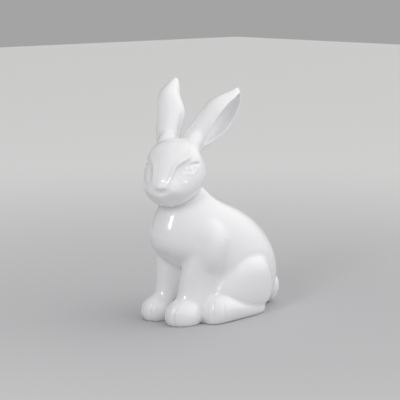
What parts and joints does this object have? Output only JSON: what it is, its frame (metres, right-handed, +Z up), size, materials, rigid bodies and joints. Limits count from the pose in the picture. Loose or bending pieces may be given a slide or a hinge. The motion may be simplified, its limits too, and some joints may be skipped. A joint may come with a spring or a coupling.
{
  "type": "rabbit figurine",
  "caption": "Seated rabbit ornament in glossy white glazed ceramic: upright body on its paws, head turned a little to one side, cupped ears laid back, eyes only in relief, vented underside",
  "frame": {"origin": "On the surface that the figurine stands on, under the middle of the trunk", "axes": "+Z up, the rabbit's face and chest point to -Y, its left side is +X"},
  "size_m": [0.0779, 0.1303, 0.1695],
  "materials": {
    "glaze": "gloss"
  },
  "bodies": {
    "root": {"trunk_shell": "glaze", "head_shell": "glaze", "left_ear": "glaze", "right_ear": "glaze", "left_foreleg": "glaze", "right_foreleg": "glaze", "left_haunch": "glaze", "right_haunch": "glaze", "left_hind_foot": "glaze", "right_hind_foot": "glaze", "tail": "glaze"}
  },
  "joints": []
}
